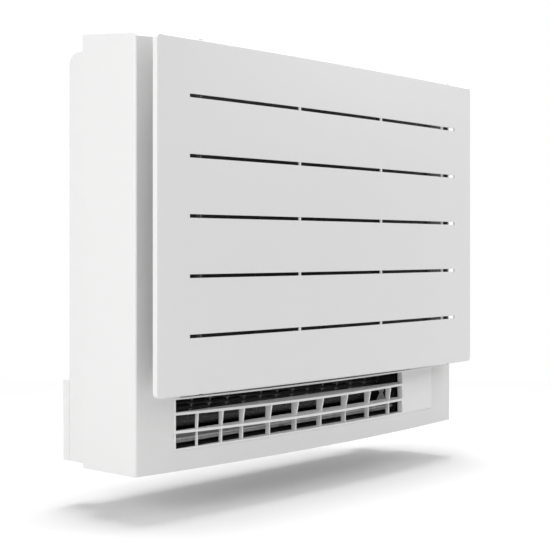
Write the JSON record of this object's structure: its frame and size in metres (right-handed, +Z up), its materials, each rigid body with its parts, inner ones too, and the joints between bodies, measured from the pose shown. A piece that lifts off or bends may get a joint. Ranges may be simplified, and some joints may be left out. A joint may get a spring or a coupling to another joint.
{
  "type": "floor console air conditioner",
  "caption": "Low white floor console air conditioner with a bowed slotted front panel, a finned lower air outlet with a swing shutter and an upper outlet under a hinged flap",
  "frame": {"origin": "bottom centre of the overall box: midway across the width and depth, on the floor", "axes": "+X is left to right as seen from the front, +Y runs from the front to the wall, +Z is up"},
  "size_m": [0.75, 0.2379, 0.6],
  "materials": {
    "white_shell": "fine satin moulded surface",
    "white_panel": "smooth satin moulded surface",
    "grille_plastic": "satin moulded surface",
    "inner_plastic": "plain matte moulded surface",
    "black_plastic": "dark matte moulded surface",
    "filter_dark": "dark woven mesh in a moulded frame",
    "foam_grey": "expanded foam with a fine grain",
    "galvanised": "plain galvanised sheet",
    "shaft_steel": "ground bar",
    "block_rubber": "moulded rubber",
    "motor_shell": "smooth coated can",
    "coil_fins": "closely stacked thin fins",
    "copper_tube": "drawn copper tube",
    "brass_nut": "machined brass",
    "board_green": "coated circuit board"
  },
  "bodies": {
    "cabinet": {"front_casing": "white_shell", "rear_casing": "white_shell", "piping_cover_left": "white_shell", "piping_cover_right": "white_shell", "panel_hinge_bracket_left": "white_shell", "panel_hinge_bracket_right": "white_shell", "panel_latch_left": "white_shell", "panel_latch_right": "white_shell", "air_filter_left": "filter_dark", "air_filter_right": "filter_dark", "lower_grille": "grille_plastic", "wall_plate": "galvanised", "bulkhead_left": "inner_plastic", "bulkhead_right": "inner_plastic", "lower_scroll": "black_plastic", "lower_tongue": "black_plastic", "upper_scroll": "black_plastic", "upper_tongue": "black_plastic", "upper_duct": "inner_plastic", "flap_motor": "motor_shell", "shutter_motor": "motor_shell", "fin_block": "coil_fins", "coil_end_plate_left": "galvanised", "coil_end_plate_right": "galvanised", "return_bends": "copper_tube", "header_bends": "copper_tube", "drain_pan": "foam_grey", "liquid_pipe": "copper_tube", "gas_pipe": "copper_tube", "flare_nuts": "brass_nut", "electrical_box": "galvanised", "electrical_cover": "galvanised", "circuit_board": "board_green", "terminal_block": "black_plastic", "lower_bearing_block": "block_rubber", "lower_fan_motor": "motor_shell", "lower_motor_bracket": "galvanised", "upper_bearing_block": "block_rubber", "upper_fan_motor": "motor_shell", "upper_motor_bracket": "galvanised"},
    "front_panel": {"front_panel": "white_panel"},
    "lower_fan": {"lower_fan_wheel": "black_plastic", "lower_fan_shafts": "shaft_steel"},
    "upper_fan": {"upper_fan_wheel": "black_plastic", "upper_fan_shafts": "shaft_steel"},
    "upper_flap": {"upper_flap": "white_shell"},
    "lower_shutter": {"lower_shutter": "grille_plastic"},
    "vane_link_left": {"vane_link_left": "inner_plastic"},
    "vane_link_right": {"vane_link_right": "inner_plastic"},
    "upper_vane_1": {"upper_vane_1": "inner_plastic"},
    "upper_vane_2": {"upper_vane_2": "inner_plastic"},
    "upper_vane_3": {"upper_vane_3": "inner_plastic"},
    "upper_vane_4": {"upper_vane_4": "inner_plastic"},
    "upper_vane_5": {"upper_vane_5": "inner_plastic"},
    "upper_vane_6": {"upper_vane_6": "inner_plastic"},
    "upper_vane_7": {"upper_vane_7": "inner_plastic"},
    "upper_vane_8": {"upper_vane_8": "inner_plastic"}
  },
  "joints": [
    {"name": "panel_hinge", "type": "hinge", "parent": "cabinet", "child": "front_panel", "pos_m": [0, -0.0937, 0.1232], "axis": [1, 0, 0], "range_deg": [0, 50]},
    {"name": "lower_fan_shaft", "type": "hinge", "parent": "cabinet", "child": "lower_fan", "pos_m": [-0.05, 0.016, 0.092], "axis": [1, 0, 0], "continuous": true},
    {"name": "upper_fan_shaft", "type": "hinge", "parent": "cabinet", "child": "upper_fan", "pos_m": [-0.05, 0.012, 0.505], "axis": [1, 0, 0], "continuous": true},
    {"name": "flap_hinge", "type": "hinge", "parent": "cabinet", "child": "upper_flap", "pos_m": [0, -0.0118, 0.58895], "axis": [-1, 0, 0], "range_deg": [0, 75]},
    {"name": "shutter_hinge", "type": "hinge", "parent": "cabinet", "child": "lower_shutter", "pos_m": [-0.049, -0.034, 0.064], "axis": [1, 0, 0], "range_deg": [-60, 12]},
    {"name": "vane_pivot_1", "type": "hinge", "parent": "cabinet", "child": "upper_vane_1", "pos_m": [-0.27737, -0.03, 0.565], "axis": [0, 1, 0], "range_deg": [-30, 30]},
    {"name": "vane_pivot_2", "type": "hinge", "parent": "cabinet", "child": "upper_vane_2", "pos_m": [-0.21213, -0.03, 0.565], "axis": [0, 1, 0], "range_deg": [-30, 30]},
    {"name": "vane_pivot_3", "type": "hinge", "parent": "cabinet", "child": "upper_vane_3", "pos_m": [-0.14688, -0.03, 0.565], "axis": [0, 1, 0], "range_deg": [-30, 30]},
    {"name": "vane_pivot_4", "type": "hinge", "parent": "cabinet", "child": "upper_vane_4", "pos_m": [-0.08163, -0.03, 0.565], "axis": [0, 1, 0], "range_deg": [-30, 30]},
    {"name": "vane_link_pivot_left", "type": "hinge", "parent": "upper_vane_1", "child": "vane_link_left", "pos_m": [-0.27737, -0.03, 0.553], "axis": [0, 1, 0], "range_deg": [-30, 30]},
    {"name": "vane_pivot_5", "type": "hinge", "parent": "cabinet", "child": "upper_vane_5", "pos_m": [-0.01638, -0.03, 0.565], "axis": [0, 1, 0], "range_deg": [-30, 30]},
    {"name": "vane_pivot_6", "type": "hinge", "parent": "cabinet", "child": "upper_vane_6", "pos_m": [0.04888, -0.03, 0.565], "axis": [0, 1, 0], "range_deg": [-30, 30]},
    {"name": "vane_pivot_7", "type": "hinge", "parent": "cabinet", "child": "upper_vane_7", "pos_m": [0.11413, -0.03, 0.565], "axis": [0, 1, 0], "range_deg": [-30, 30]},
    {"name": "vane_pivot_8", "type": "hinge", "parent": "cabinet", "child": "upper_vane_8", "pos_m": [0.17938, -0.03, 0.565], "axis": [0, 1, 0], "range_deg": [-30, 30]},
    {"name": "vane_link_pivot_right", "type": "hinge", "parent": "upper_vane_5", "child": "vane_link_right", "pos_m": [-0.01638, -0.03, 0.553], "axis": [0, 1, 0], "range_deg": [-30, 30]}
  ],
  "couplings": [
    {"joint": "vane_pivot_2", "follows": "vane_pivot_1", "ratio": 1},
    {"joint": "vane_pivot_3", "follows": "vane_pivot_1", "ratio": 1},
    {"joint": "vane_pivot_4", "follows": "vane_pivot_1", "ratio": 1},
    {"joint": "vane_link_pivot_left", "follows": "vane_pivot_1", "ratio": -1},
    {"joint": "vane_pivot_6", "follows": "vane_pivot_5", "ratio": 1},
    {"joint": "vane_pivot_7", "follows": "vane_pivot_5", "ratio": 1},
    {"joint": "vane_pivot_8", "follows": "vane_pivot_5", "ratio": 1},
    {"joint": "vane_link_pivot_right", "follows": "vane_pivot_5", "ratio": -1}
  ]
}
